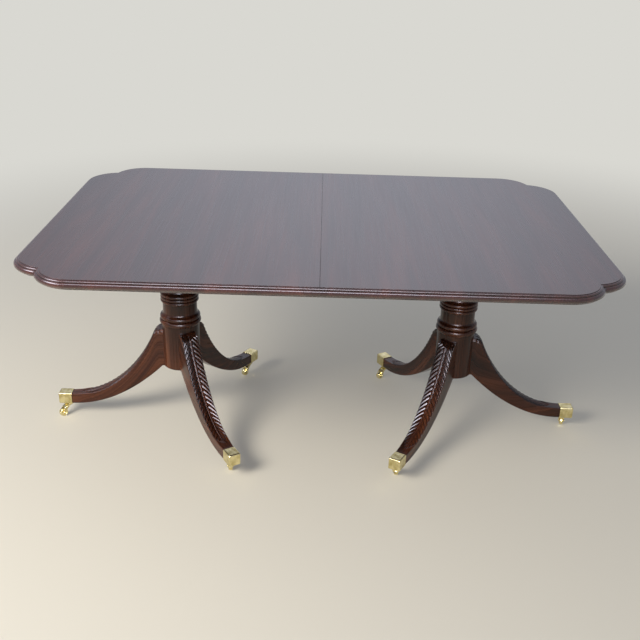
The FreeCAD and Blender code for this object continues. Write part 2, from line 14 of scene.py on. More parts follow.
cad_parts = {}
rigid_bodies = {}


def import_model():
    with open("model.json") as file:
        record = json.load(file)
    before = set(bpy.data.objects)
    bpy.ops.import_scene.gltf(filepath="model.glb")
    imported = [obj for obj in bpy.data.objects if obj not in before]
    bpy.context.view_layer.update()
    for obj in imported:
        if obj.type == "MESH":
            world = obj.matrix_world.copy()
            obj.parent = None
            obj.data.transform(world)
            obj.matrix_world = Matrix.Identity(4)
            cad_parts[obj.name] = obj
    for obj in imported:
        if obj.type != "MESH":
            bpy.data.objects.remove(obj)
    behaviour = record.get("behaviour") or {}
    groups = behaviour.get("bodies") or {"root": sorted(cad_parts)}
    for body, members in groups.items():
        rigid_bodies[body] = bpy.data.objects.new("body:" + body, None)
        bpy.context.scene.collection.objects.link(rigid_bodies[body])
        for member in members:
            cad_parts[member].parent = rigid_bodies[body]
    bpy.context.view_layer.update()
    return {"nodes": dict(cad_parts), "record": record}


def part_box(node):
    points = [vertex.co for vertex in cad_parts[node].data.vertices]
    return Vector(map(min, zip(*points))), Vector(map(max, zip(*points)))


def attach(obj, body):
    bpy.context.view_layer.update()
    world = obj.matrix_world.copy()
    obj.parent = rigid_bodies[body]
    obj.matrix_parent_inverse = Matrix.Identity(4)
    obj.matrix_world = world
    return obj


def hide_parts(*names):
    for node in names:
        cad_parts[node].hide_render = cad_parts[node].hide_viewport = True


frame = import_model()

MM = 0.001

# %% [markdown]
# Nearly every turned, moulded or carved piece is a stack of closed rings: a ring of points is carried along
# a path and changes shape on the way. The ring stack is one array of shape (rings, points, 3), so the whole
# mesh is worked out at once. A small helper turns such an array into a mesh. It closes both ends with a face,
# turns the surface outwards, and stores two things that the materials read: a UV map in metres that follows
# the surface, and the relief, a number from -1 in a groove, where it paints shade, to 1 on a worn arris.


# %% Ring stacks
def ring_mesh(name, rings, uv=None, relief=0, sharp_angle=50):
    """Closed surface through rings[i, j]: quads join ring i to ring i + 1, and a face closes each end.

    The signed volume, the sum of a . (b x c) / 6 over the triangles, says whether the faces point outwards.
    """
    ring_count, point_count = rings.shape[:2]
    points = rings.reshape(-1, 3)
    i, j = np.meshgrid(np.arange(ring_count - 1), np.arange(point_count), indexing="ij")
    corners = ((0, 0), (1, 0), (1, 1), (0, 1))
    cells = np.stack([np.stack((i + a, j + b), -1) for a, b in corners], -2).reshape(-1, 4, 2)
    first_cap = np.arange(point_count)
    last_cap = (ring_count - 1) * point_count + first_cap[::-1]
    quads = cells[..., 0] * point_count + cells[..., 1] % point_count
    arm = points[quads] - points.mean(0)
    volume = sum(np.einsum("ij,ij->", arm[:, 0], np.cross(arm[:, k], arm[:, k + 1])) for k in (1, 2))
    if volume < 0:
        cells, quads, first_cap, last_cap = cells[:, ::-1], quads[:, ::-1], first_cap[::-1], last_cap[::-1]
    mesh = bpy.data.meshes.new(name)
    mesh.from_pydata(points, [], quads.tolist() + [first_cap.tolist(), last_cap.tolist()])
    mesh.polygons.foreach_set("use_smooth", np.ones(len(mesh.polygons), bool))
    mesh.set_sharp_from_angle(angle=math.radians(sharp_angle))
    if uv is not None:
        surface = uv[cells[..., 0], cells[..., 1]].reshape(-1, 2)
        caps = np.zeros((2 * point_count, 2))
        layer = mesh.uv_layers.new(name="surface")
        layer.data.foreach_set("uv", np.concatenate((surface, caps)).ravel().astype(np.float32))
    layer = mesh.attributes.new("relief", "FLOAT", "POINT")
    spread_relief = np.broadcast_to(relief, rings.shape[:2])
    layer.data.foreach_set("value", np.ascontiguousarray(spread_relief, dtype=np.float32).ravel())
    return mesh


def piece(name, mesh, body, slot, material, *nodes):
    """Object for a mesh that rides on a body, takes a finish and stands for CAD nodes. The slot is not used.
    """
    made = bpy.data.objects.new(name, mesh)
    bpy.context.scene.collection.objects.link(made)
    mesh.materials.clear()
    mesh.materials.append(material)
    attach(made, body)
    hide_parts(*nodes)
    print(name, len(mesh.polygons), "faces on", body)
    return made


# %% [markdown]
# Mouldings, rings and reeds are runs of straight lines and circular arcs. An arc is fixed by its two ends and
# by how far it bulges from the chord between them, which is how a joiner would measure it.


# %% Lines and arcs
def bulge(start, end, height, count=10):
    """Points after start along an arc to end, whose middle stands off the chord to its left by height.

    With a chord c, half the arc spans 2 atan(2 height / c), and the radius is c / (2 sin of that).
    """
    start, end = np.array(start, float), np.array(end, float)
    chord = end - start
    length = np.hypot(*chord)
    along = chord / length
    left = np.array((-along[1], along[0]))
    half = 2 * math.atan2(2 * abs(height), length)
    radius = length / (2 * math.sin(half))
    angle = np.linspace(-half, half, count + 1)[1:, None]
    rise = radius * (np.cos(angle) - math.cos(half)) * math.copysign(1, height)
    return start + along * (length / 2 + radius * np.sin(angle)) + left * rise


def spread(path, count):
    """Points spread evenly along a path, by linear interpolation of its running length."""
    step = np.linalg.norm(np.diff(path, axis=0), axis=1)
    run = np.concatenate(((0,), np.cumsum(step)))
    want = np.linspace(0, run[-1], count)
    return np.stack([np.interp(want, run, path[:, k]) for k in range(path.shape[1])], -1), want


def bezier(p0, p1, p2, p3, count=120):
    """Cubic Bezier curve: (1-t)^3 p0 + 3 t (1-t)^2 p1 + 3 t^2 (1-t) p2 + t^3 p3."""
    t = np.linspace(0, 1, count)[:, None]
    return (1 - t) ** 3 * p0 + 3 * t * (1 - t) ** 2 * p1 + 3 * t ** 2 * (1 - t) * p2 + t ** 3 * p3


# %% [markdown]
# Colours are written as sRGB hex values, the way a colour picker shows them, and one function turns them into
# the linear values that shaders work with. One small function adds a node, sets its properties and sockets,
# and links the sockets that are given as another node's output.


# %% Colours and nodes
def linear(code):
    """Linear RGBA of an sRGB hex code: ((c + 0.055) / 1.055) ^ 2.4 for all but the darkest values."""
    srgb = np.array([int(code[k:k + 2], 16) / 255 for k in (1, 3, 5)])
    rgb = np.where(srgb <= 0.04045, srgb / 12.92, ((srgb + 0.055) / 1.055) ** 2.4)
    return (*rgb, 1)


def add_node(material, kind, values=None, stops=(), **settings):
    """Node of a kind: settings are its properties, values its sockets, stops a ramp's places and colours."""
    node = material.node_tree.nodes.new("ShaderNode" + kind)
    for key, value in settings.items():
        setattr(node, key, value)
    for key, value in (values or {}).items():
        if isinstance(value, bpy.types.NodeSocket):
            material.node_tree.links.new(value, node.inputs[key])
        else:
            node.inputs[key].default_value = value
    for number, (place, code) in enumerate(stops):
        ramp = node.color_ramp.elements
        stop = ramp[number] if number < len(ramp) else ramp.new(place)
        stop.position = place
        stop.color = linear(code)
    return node


def new_material(name):
    """Node material with nothing in it."""
    material = bpy.data.materials.new(name)
    material.use_nodes = True
    material.node_tree.nodes.clear()
    return material


# %% [markdown]
# French-polished mahogany. The wood is a red brown, darkened by age, with a lazy figure of darker bands, fine
# straight streaks and short open pores, all drawn out along the grain. The polish is a thick clear coat that
# has been rubbed to a gloss. It mirrors the room at low angles, so the top reads grey and the legs read dark.
# The relief paints shade into grooves and carving, makes arrises paler as rubbed, and paints the legs'
# faces with shade near the column and with light towards the toe.
# The pores are drawn several times too coarse, so that they show at all from across a room. The underside of
# the top was never polished: there the wood is only stained.


# %% Mahogany
def mahogany(name, grain_axis, coordinates, stops, streak_range, wood_gloss, polish):
    """Polished mahogany: noise stretched along the grain axis, on Object coordinates or the surface's UV.

    Each layer of noise has a size across the grain, a size along it and a detail. Each shade takes a source
    from its own range to a range of brightness. The polish is the weight, the IOR and the roughness of the
    clear coat.
    """
    ripple_size = 38 * MM
    pore_share = 0.03
    layers = {"figure": (55 * MM, 700 * MM, 4), "streak": (7 * MM, 300 * MM, 3),
              "pore": (1.4 * MM, 16 * MM, 1)}
    material = new_material(name)
    place = add_node(material, "TexCoord").outputs[coordinates]
    noise = {}
    for layer, (across, along, detail) in layers.items():
        scale = [1 / across] * 3
        scale[grain_axis] = 1 / along
        mapping = add_node(material, "Mapping", {"Vector": place, "Scale": scale})
        node = add_node(material, "TexNoise", {"Vector": mapping.outputs[0], "Scale": 1, "Detail": detail,
                                               "Roughness": 0.55, "Distortion": 0.4})
        noise[layer] = node.outputs["Fac"]
    figure = add_node(material, "ValToRGB", {"Fac": noise["figure"]}, stops)
    colour = figure.outputs["Color"]
    relief = add_node(material, "Attribute", attribute_name="relief").outputs["Fac"]
    # The relief's shade is painted shade in grooves, down to a quarter, and paler arrises, up to 1.75 times
    shades = ((noise["streak"], 0.3, 0.7, *streak_range), (noise["pore"], 0.30, 0.40, 0.5, 1),
              (relief, -1, 1, 0.25, 1.75))
    for source, low, high, dark, light in shades:
        shade = add_node(material, "MapRange", {"Value": source, "From Min": low, "From Max": high,
                                                "To Min": dark, "To Max": light})
        shaded = add_node(material, "VectorMath", {0: colour, "Scale": shade.outputs[0]}, operation="SCALE")
        colour = shaded.outputs[0]
    dull = add_node(material, "MapRange", {"Value": noise["streak"], "From Min": 0.25, "From Max": 0.75,
                                           "To Min": 0.24, "To Max": 0.34})
    ripple = add_node(material, "TexNoise", {"Vector": place, "Scale": 1 / ripple_size, "Detail": 2})
    height = add_node(material, "Math", {0: noise["pore"], 1: pore_share, 2: ripple.outputs["Fac"]},
                      operation="MULTIPLY_ADD")
    bump = add_node(material, "Bump", {"Height": height.outputs[0], "Strength": 0.05, "Distance": 1.2 * MM})
    shader = add_node(material, "BsdfPrincipled", {
        "Base Color": colour, "Roughness": dull.outputs[0], "IOR": 1.5, "Specular IOR Level": wood_gloss,
        "Coat Weight": polish[0], "Coat IOR": polish[1], "Coat Roughness": polish[2],
        "Normal": bump.outputs[0], "Coat Normal": bump.outputs[0]})
    add_node(material, "OutputMaterial", {"Surface": shader.outputs[0]})
    return material


# %% Mahogany of the top, the legs and the underside
top_mahogany = mahogany(
    "polished_mahogany_boards", grain_axis=1, coordinates="Object",
    stops=((0.34, "#2b1613"), (0.70, "#4c2821"), (0.52, "#391c18")),
    streak_range=(0.9, 1.09), wood_gloss=0.5, polish=(1, 1.5, 0.06))
leg_mahogany = mahogany(
    "polished_mahogany_legs", grain_axis=0, coordinates="UV",
    stops=((0.34, "#26130c"), (0.70, "#613722"), (0.52, "#422316")),
    streak_range=(0.75, 1.2), wood_gloss=0.1, polish=(0.5, 1.45, 0.1))
bare_mahogany = mahogany(
    "stained_mahogany_underside", grain_axis=1, coordinates="Object",
    stops=((0.34, "#2f1a13"), (0.70, "#573a2b"), (0.52, "#42281d")),
    streak_range=(0.8, 1.15), wood_gloss=0.1, polish=(0, 1.5, 0.3))
print("finishes:", top_mahogany.name, leg_mahogany.name, bare_mahogany.name)

# %% [markdown]
# Three plainer finishes. The slides and blocks under the top are oiled beech, straight in grain and without
# gloss. The casters, the cups with their screws and the pins in the joint are brass, rubbed bright but
# clouded by tarnish and fine scratches. The locks, the plates and all other screws are steel, darkened a
# little by age. The solids have knife-sharp edges, and no real casting has them, so the metals take their
# shading from a softened normal. Where that normal parts from the face's own normal there is an edge, and
# there the metal's colour is brighter: rubbed metal, and a painted highlight along the edge.


# %% Beech
def oiled_beech(name):
    """Oiled beech along X: noise drawn out along the grain, with short flecks."""
    material = new_material(name)
    place = add_node(material, "TexCoord").outputs["Object"]
    sizes = {"grain": (240 * MM, 7 * MM, 7 * MM), "fleck": (9 * MM, 1.6 * MM, 1.6 * MM)}
    noise = {}
    for layer, size in sizes.items():
        mapping = add_node(material, "Mapping", {"Vector": place, "Scale": [1 / length for length in size]})
        node = add_node(material, "TexNoise", {"Vector": mapping.outputs[0], "Scale": 1, "Detail": 4})
        noise[layer] = node.outputs["Fac"]
    ramp = add_node(material, "ValToRGB", {"Fac": noise["grain"]}, ((0.3, "#6b4a30"), (0.72, "#a37a52")))
    shade = add_node(material, "MapRange", {"Value": noise["fleck"], "From Min": 0.62, "From Max": 0.74,
                                            "To Min": 1, "To Max": 0.72})
    flecked = add_node(material, "VectorMath", {0: ramp.outputs["Color"], "Scale": shade.outputs[0]},
                       operation="SCALE")
    rough = add_node(material, "MapRange", {"Value": noise["grain"], "To Min": 0.5, "To Max": 0.68})
    bump = add_node(material, "Bump", {"Height": noise["grain"], "Strength": 0.15, "Distance": 0.6 * MM})
    shader = add_node(material, "BsdfPrincipled", {"Base Color": flecked.outputs[0], "IOR": 1.5,
                                                   "Roughness": rough.outputs[0], "Normal": bump.outputs[0]})
    add_node(material, "OutputMaterial", {"Surface": shader.outputs[0]})
    return material


# %% Brass and steel
def aged_metal(name, stops, roughness, cloud_size, scratch_size, edge_radius=0.9 * MM):
    """Metal with tarnish and scratches from noise at a real size, and a painted highlight on rubbed edges."""
    scratch_turn = (0.5, 0.4, 0.6)
    scratch_scale = (1 / scratch_size, 0.1 / scratch_size, 1 / scratch_size)
    material = new_material(name)
    place = add_node(material, "TexCoord").outputs["Object"]
    cloud = add_node(material, "TexNoise", {"Vector": place, "Scale": 1 / cloud_size, "Detail": 5,
                                            "Roughness": 0.6}).outputs["Fac"]
    drawn_out = add_node(material, "Mapping", {"Vector": place, "Rotation": scratch_turn,
                                               "Scale": scratch_scale})
    scratch = add_node(material, "TexNoise", {"Vector": drawn_out.outputs[0], "Scale": 1, "Detail": 2})
    ramp = add_node(material, "ValToRGB", {"Fac": cloud}, stops)
    soft = add_node(material, "Bevel", {"Radius": edge_radius}, samples=6).outputs[0]
    hard = add_node(material, "NewGeometry").outputs["Normal"]
    agree = add_node(material, "VectorMath", {0: soft, 1: hard}, operation="DOT_PRODUCT")
    # Painted highlight and rubbed metal: up to 1.35 times brighter where the edge rounds off
    rub_and_highlight = add_node(material, "MapRange", {"Value": agree.outputs["Value"], "From Min": 0.85, "From Max": 0.99,
                                          "To Min": 1.35, "To Max": 1})
    rubbed_and_highlit = add_node(material, "VectorMath", {0: ramp.outputs["Color"], "Scale": rub_and_highlight.outputs[0]},
                      operation="SCALE")
    blur = add_node(material, "MapRange", {"Value": cloud, "From Min": 0.3, "From Max": 0.7,
                                           "To Min": roughness[1], "To Max": roughness[0]})
    bump = add_node(material, "Bump", {"Height": scratch.outputs["Fac"], "Strength": 0.1,
                                       "Distance": 0.3 * MM, "Normal": soft})
    shader = add_node(material, "BsdfPrincipled", {"Base Color": rubbed_and_highlit.outputs[0], "Metallic": 1,
                                                   "Roughness": blur.outputs[0], "Normal": bump.outputs[0]})
    add_node(material, "OutputMaterial", {"Surface": shader.outputs[0]})
    return material


# %% Finishes on the solids
slide_beech = oiled_beech("oiled_beech_slides")
cast_brass = aged_metal("rubbed_cast_brass", stops=((0.35, "#c9b97c"), (0.62, "#efe3b0")),
                        roughness=(0.12, 0.26), cloud_size=18 * MM, scratch_size=0.8 * MM)
dark_steel = aged_metal("darkened_steel", stops=((0.35, "#5b5855"), (0.62, "#8d8a86")),
                        roughness=(0.32, 0.5), cloud_size=10 * MM, scratch_size=0.7 * MM)
finish_of_slot = {"top_mahogany": top_mahogany, "mahogany": leg_mahogany, "slide_hardwood": slide_beech,
                  "brass": cast_brass, "steel": dark_steel}
for part in frame["record"]["subparts"]:
    solid = frame["nodes"][part["node"]]
    solid.data.materials.clear()
    solid.data.materials.append(finish_of_slot[part["material_slot"]])
print(len(frame["nodes"]), "solids have their finishes")

# %% [markdown]
# The top. Each half is one board with a moulded edge that runs from the joint round two shaped corners and
# back to the joint. A plain extrusion would leave the notches wrong, because there the moulding of one round
# lobe is mitred into the moulding of the next. Here the edge is a stack of outlines: each point of the
# moulding's profile has an inset, and the outline at that inset is built from straight runs and arcs about
# the two lobes' centres. The arcs of one inset meet on the corner's diagonal, so the mitre comes by itself.

# %% Sizes of the top
top_low, top_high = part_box("top_right")
half_length = top_high.x
half_width = top_high.y
thickness = top_high.z - top_low.z
joint_x = 0.05 * MM
joint_arris = 0.6 * MM
holding_strip = 1.5 * MM
corner_run = 195 * MM
corner_notch = 84 * MM
lobe_radius = ((corner_run - corner_notch) ** 2 + corner_notch ** 2) / (2 * corner_notch)
end_lobe = np.array((half_length - lobe_radius, half_width - corner_run))
side_lobe = np.array((half_length - corner_run, half_width - lobe_radius))
print("lobes of radius", round(lobe_radius / MM, 1), "mm at", side_lobe, "and", end_lobe)


# %% Outline at an inset
def half_outline(inset, joint, arc_count=30, run_count=8):
    """Outline of the right half at an inset, from the joint at the front round to the joint at the back.

    Both lobes have the radius r = lobe radius - inset. Their arcs cross where the half distance h of the
    centres and r give the height sqrt(r^2 - h^2) over the middle of the centres, along the corner's diagonal.
    """
    radius = lobe_radius - inset
    apart = np.hypot(*(side_lobe - end_lobe)) / 2
    notch = (side_lobe + end_lobe) / 2 + math.sqrt(radius ** 2 - apart ** 2) * math.sqrt(0.5)

    def lobe(centre, first, last):
        angle = np.linspace(first, last, arc_count)
        return centre + radius * np.stack((np.cos(angle), np.sin(angle)), -1)

    side_turn = math.atan2(*(notch - side_lobe)[::-1])
    end_turn = math.atan2(*(notch - end_lobe)[::-1])
    corner = np.concatenate((lobe(end_lobe, 0, end_turn), lobe(side_lobe, side_turn, math.pi / 2)[1:]))
    near_joint = (joint_x + joint_arris + 2 * holding_strip, corner[-1][1])
    side_run = np.linspace(corner[-1], near_joint, run_count)[1:]
    back = np.concatenate((corner, side_run, ((joint, corner[-1][1]),)))
    end_run = np.linspace((corner[0][0], -corner[0][1]), corner[0], run_count)[1:-1]
    return np.concatenate((back[::-1] * (1, -1), end_run, back))


# %% [markdown]
# The moulding, from the field outwards and down: the field's arris, a quirk, a flat reed, a second quirk, the
# big bead, a fillet and a hollow below. Each row is an inset from the outermost line and a depth below the
# field. The first and last rows are narrow strips of the flat faces. They keep the rounded shading of the
# arrises from bending the reflections far into the field.

# %% Moulding of the edge
bead = 8.5 * MM
field_edge = bead + 7 * MM
field_arris = 0.7 * MM
arris_bulge = 0.29 * field_arris
reed_top, reed_end, reed_bulge = 1.8 * MM, 3.8 * MM, 1.15 * MM
bead_top, bead_end = 6.2 * MM, 23.2 * MM
hollow_top, hollow_run, hollow_depth = 25.4 * MM, 9 * MM, 1 * MM
moulding = np.array([
    (field_edge + field_arris + holding_strip, 0), (field_edge + field_arris, 0),
    *bulge((field_edge + field_arris, 0), (field_edge, field_arris), arris_bulge, count=4),
    (field_edge, reed_top), *bulge((field_edge, reed_top), (bead, reed_end), reed_bulge, count=8),
    (bead, bead_top), *bulge((bead, bead_top), (bead, bead_end), bead, count=22),
    (bead, hollow_top), *bulge((bead, hollow_top), (bead + hollow_run, thickness), -hollow_depth, count=8),
    (bead + hollow_run + holding_strip, thickness),
])
print(len(moulding), "points across the edge, outermost inset", round(moulding[:, 0].min() / MM, 3), "mm")


# %% Stack of one half
def half_top(mirror):
    """Ring stack of one half: the field drawn in to its middle, the moulding, and the underside drawn in.

    The relief of the edge follows the turn of its profile: painted shade in the quirks and the hollow, paler
    rounds. The arris along the joint is a dark seam.
    """
    groove_shade = 1.4
    seam_rows = slice(2, 7)
    shrink = np.array((0.02, 0.3, 0.6, 0.85))[:, None, None]
    joint = joint_x + np.clip(joint_arris - moulding[:, 1], 0, None)
    joint[0] += holding_strip
    outlines = [half_outline(inset, edge) for (inset, depth), edge in zip(moulding, joint)]
    edge_rings = np.concatenate((outlines, np.zeros((len(moulding), len(outlines[0]), 1))), 2)
    edge_rings[..., 2] = top_high.z - moulding[:, 1:]
    middle = np.array((half_length / 2, 0, 0))
    flat = np.array((1, 1, 0))
    field = (edge_rings[0] - middle) * flat * shrink + middle + (0, 0, top_high.z)
    under = (edge_rings[-1] - middle) * flat * shrink[::-1] + middle + (0, 0, top_low.z)
    turn = np.gradient(np.unwrap(np.arctan2(*np.gradient(moulding, axis=0).T[::-1])))
    # Painted shade in the moulding's quirks and hollow, paler on its rounds
    edge_relief = np.repeat(np.clip(-turn * groove_shade, -1, 0.5)[:, None], edge_rings.shape[1], 1)
    edge_relief[seam_rows, (0, -1)] = -1
    relief = np.concatenate((np.zeros(field.shape[:2]), edge_relief, np.zeros(under.shape[:2])))
    stack = np.concatenate((field, edge_rings, under)) * (mirror, 1, 1)
    return ring_mesh("top", stack, relief=relief, sharp_angle=40)


# %% [markdown]
# The halves are kept level by four brass pins in the left half, so the right half has four sockets in its
# joint face. They show once the table is drawn out. Holes are what a Boolean is good at: a peg for each
# socket is taken away from the board, and the result is kept as a plain mesh. The faces that look down get
# the bare finish.


# %% Sockets
def drilled(mesh, places, radius, depth, peg_sides=32):
    """Copy of a mesh less a round peg of a depth along X at each place."""
    board = bpy.data.objects.new("board", mesh)
    bpy.context.scene.collection.objects.link(board)
    angle = np.linspace(0, 2 * math.pi, peg_sides, endpoint=False)
    circle = np.stack((np.zeros(peg_sides), radius * np.cos(angle), radius * np.sin(angle)), -1)
    pegs = []
    for place in places:
        peg_mesh = ring_mesh("peg", np.stack((circle - (depth, 0, 0), circle + (depth, 0, 0))) + place)
        peg = bpy.data.objects.new("peg", peg_mesh)
        bpy.context.scene.collection.objects.link(peg)
        cut = board.modifiers.new("socket", "BOOLEAN")
        cut.operation = "DIFFERENCE"
        cut.object = peg
        pegs.append(peg)
    done = board.evaluated_get(bpy.context.evaluated_depsgraph_get())
    result = bpy.data.meshes.new_from_object(done)
    for spare in (board, *pegs):
        bpy.data.objects.remove(spare)
    return result


# %% The two halves
socket_radius, socket_depth = 5.3 * MM, 20.3 * MM
socket_shares = (-0.38, -0.15, 0.15, 0.38)
socket_places = [(joint_x, share * 2 * half_width, (top_low.z + top_high.z) / 2) for share in socket_shares]
looking_down = -0.99
boards = {"left": half_top(-1), "right": drilled(half_top(1), socket_places, socket_radius, socket_depth)}
for side, mesh in boards.items():
    piece(f"top_board_{side}", mesh, f"{side}_half", "top_mahogany", top_mahogany, f"top_{side}")
    mesh.materials.append(bare_mahogany)
    underside = np.array([face.normal.z < looking_down for face in mesh.polygons], np.int32)
    mesh.polygons.foreach_set("material_index", underside)
    print("bare faces underneath:", underside.sum())

# %% [markdown]
# The columns are lathe work, so each is a profile of radius against height turned about its axis. The profile
# follows the column's solid: the drum, two rings, a short shaft, three reeds and the slim part that the top
# hides. Only the upper ring differs. It runs into the shaft in one sweep, as a gouge would leave it, where
# the solid has a crease. The UV map runs along the height, so that the grain stands upright.

# %% Sizes of a column
column_low, column_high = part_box("left_column")
column_x = {"left": -470 * MM, "right": 470 * MM}
drum_radius, drum_height, foot_arris = 63 * MM, 158.5 * MM, 2 * MM
drum_top = column_low.z + drum_height
lower_seat, lower_ring, lower_bulge = 65 * MM, 18.5 * MM, 5 * MM
upper_seat, upper_ring, upper_bulge = 63 * MM, 16 * MM, 4.5 * MM
shaft_radius, shaft_height, sweep_height, sweep_hollow = 57.5 * MM, 35.6 * MM, 9 * MM, 1.28 * MM
small_reed_seat, small_reed, small_reed_bulge = 60.5 * MM, 11.5 * MM, 3.5 * MM
base_radius, base_height, base_hollow = 53 * MM, 16 * MM, 3 * MM
neck_radius = 45 * MM
collar_radius, collar_height, collar_bulge = 48 * MM, 16 * MM, 6 * MM
cap_radius, cap_height, tenon_height = 60 * MM, 14 * MM, 26 * MM
print("columns at", list(column_x.values()), "m, drums", round(2 * drum_radius / MM), "mm across")


# %% Column profile
def column_profile():
    """Points (radius, height) from the drum's foot to the cap under the block."""
    ring_split, sweep_low, sweep_top, reeds_low, *reed_tops = np.cumsum(
        [drum_top + lower_ring, upper_ring, sweep_height, shaft_height, small_reed, small_reed, small_reed])
    cap_top = column_high.z - tenon_height
    cap_low = cap_top - cap_height
    collar_low = cap_low - collar_height
    points = [(drum_radius - foot_arris, column_low.z), (drum_radius, column_low.z + foot_arris)]
    points += [(drum_radius, drum_top), (lower_seat, drum_top)]
    points += [*bulge((lower_seat, drum_top), (lower_seat, ring_split), -lower_bulge, count=14)]
    points += [(upper_seat, ring_split)]
    points += [*bulge((upper_seat, ring_split), (upper_seat, sweep_low), -upper_bulge, count=14)]
    points += [*bulge((upper_seat, sweep_low), (shaft_radius, sweep_top), sweep_hollow, count=8)]
    points += [(shaft_radius, sweep_top + holding_strip), (shaft_radius, reeds_low)]
    points += [(small_reed_seat, reeds_low)]
    for low, high in zip((reeds_low, *reed_tops), reed_tops):
        points += [*bulge((small_reed_seat, low), (small_reed_seat, high), -small_reed_bulge, count=10)]
    base_top = (base_radius, reed_tops[-1] + base_height)
    points += [*bulge((small_reed_seat, reed_tops[-1]), base_top, base_hollow, count=8)]
    points += [(neck_radius, collar_low), (collar_radius, collar_low)]
    points += [*bulge((collar_radius, collar_low), (collar_radius, cap_low), -collar_bulge, count=10)]
    points += [(cap_radius, cap_low), (cap_radius, cap_top)]
    return np.array(points)


# %% Turned columns
def turned(name, profile, centre, count=96, groove_shade=0.9):
    """Profile turned about the upright axis through centre: (r cos a, r sin a, h) for every angle a.

    The relief follows the turn of the profile, so that painted shade darkens the grooves between the rings.
    """
    angle = np.linspace(0, 2 * math.pi, count, endpoint=False)
    round_points = np.stack((np.cos(angle), np.sin(angle)), -1)
    rings = np.empty((len(profile), count, 3))
    rings[..., :2] = profile[:, None, :1] * round_points + np.array(centre)
    rings[..., 2] = profile[:, None, 1]
    uv = np.empty((len(profile), count + 1, 2))
    uv[..., 0] = profile[:, None, 1]
    uv[..., 1] = np.linspace(0, 2 * math.pi * drum_radius, count + 1) + centre[0]
    step = np.gradient(profile, axis=0)
    turn = np.gradient(np.unwrap(np.arctan2(step[:, 0], step[:, 1])))
    # Painted shade in the grooves between and under the rings, paler on the rounds
    relief = np.clip(-turn * groove_shade, -1, 0.5)[:, None]
    return ring_mesh(name, rings, uv, relief, sharp_angle=40)


for side, place in column_x.items():
    mesh = turned("column", column_profile(), (place, 0))
    piece(f"turned_column_{side}", mesh, f"{side}_half", "mahogany", leg_mahogany, f"{side}_column")

# %% [markdown]
# The sabre legs. A leg's solid is the overlap of its side view and its plan, with a smooth top. The real top
# face is carved with a long feather: a spine down the middle, and rows of leaflets that lean outwards and
# down to a serrated edge. A bump would leave the edge straight, so each leg is a stack of cross-sections
# along the solid's own curves, with some seventy points over the top face, and the carving is a height field
# over that face, cut below the solid's surface.

# %% Sizes of a leg
leg_low, leg_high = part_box("left_leg_outer")
root_half = (leg_high.y - leg_low.y) / 2
middle_half = 25.5 * MM
toe_half, toe_height = 18 * MM, 36 * MM
toe_radius = 392 * MM
toe_in_cup = 43.7 * MM
toe_bottom = leg_low.z
toe_top = toe_bottom + toe_height
heel_rise = 1 * MM
heel = column_low.z + heel_rise
shoulder = leg_high.z
root_radius = 55 * MM
shoulder_run, shoulder_drop = 30 * MM, 20 * MM
shoulder_bend = (shoulder_run ** 2 + shoulder_drop ** 2) / (2 * shoulder_drop)
shoulder_turn = math.asin(shoulder_run / shoulder_bend)
knee_pull, toe_pull, heel_pull, sole_pull = 115 * MM, 155 * MM, 100 * MM, 140 * MM
print("legs from", round(shoulder / MM), "mm high at the column to", round(toe_top / MM), "mm at the toe")


# %% Curves of a leg
def leg_curves(count):
    """Top and bottom curves of a leg as (radius, height), spread evenly, and the top's running length.

    Above, an arc over the shoulder and a Bezier curve from the knee to the toe. Below, one from heel to sole.
    """
    knee = np.array((drum_radius + shoulder_run, shoulder - shoulder_drop))
    sag = shoulder_bend * (1 - math.cos(shoulder_turn / 2))
    pull = knee + knee_pull * np.array((math.cos(shoulder_turn), -math.sin(shoulder_turn)))
    toe = np.array((toe_radius, toe_top))
    upper = np.concatenate((((root_radius, shoulder), (drum_radius, shoulder)),
                            bulge((drum_radius, shoulder), knee, sag, count=24),
                            bezier(knee, pull, toe - (toe_pull, 0), toe)[1:]))
    foot = np.array((drum_radius, heel))
    sole = np.array((toe_radius, toe_bottom))
    down_and_out = np.array((1, -1)) * math.sqrt(0.5)
    lower = np.concatenate((((root_radius, heel),),
                            bezier(foot, foot + heel_pull * down_and_out, sole - (sole_pull, 0), sole)))
    top_points, run = spread(upper, count)
    return top_points, spread(lower, count)[0], run


def half_breadth(radius):
    """Half the leg's breadth at a radius: a parabola through root, middle and toe of the plan."""
    share = (2 * radius - drum_radius - toe_radius) / (toe_radius - drum_radius)
    mean_half = (root_half + toe_half) / 2
    straight = mean_half + (toe_half - root_half) / 2 * share
    return np.clip(straight + (middle_half - mean_half) * (1 - share ** 2), toe_half, root_half)


# %% [markdown]
# The feather itself. Carvers leave a narrow rounded spine, sink a groove along each side of it, and then cut
# the leaflets with one sweep of a gouge each, leaning towards the toe. The gaps between them get deeper
# towards the edge, where they show as notches, and a finer cut splits each leaflet. The depth is worked out
# in that order.

# %% Sizes of the feather
leaf_start, start_fade, plain_toe, tip_taper = 15 * MM, 5 * MM, 38 * MM, 50 * MM
spine_share, spine_depth = 0.13, 1.6 * MM
leaf_share, crown_lobes = 1.04, 3
leaflet_pitch, leaflet_lean, lean_growth = 18 * MM, 0.95, 12
gap_depth, gap_root_share, gap_power = 3.6 * MM, 0.3, 0.85
vein_depth, vein_place, vein_width = 0.4 * MM, 0.42, 0.07
tip_fall, tip_share, trim_fade = 2.2 * MM, 0.5, 2.5 * MM
sway, sway_length = 2 * MM, 37 * MM
deepest_cut = gap_depth + tip_fall
print("leaflets every", round(leaflet_pitch / MM), "mm, up to", round(deepest_cut / MM, 1), "mm deep")


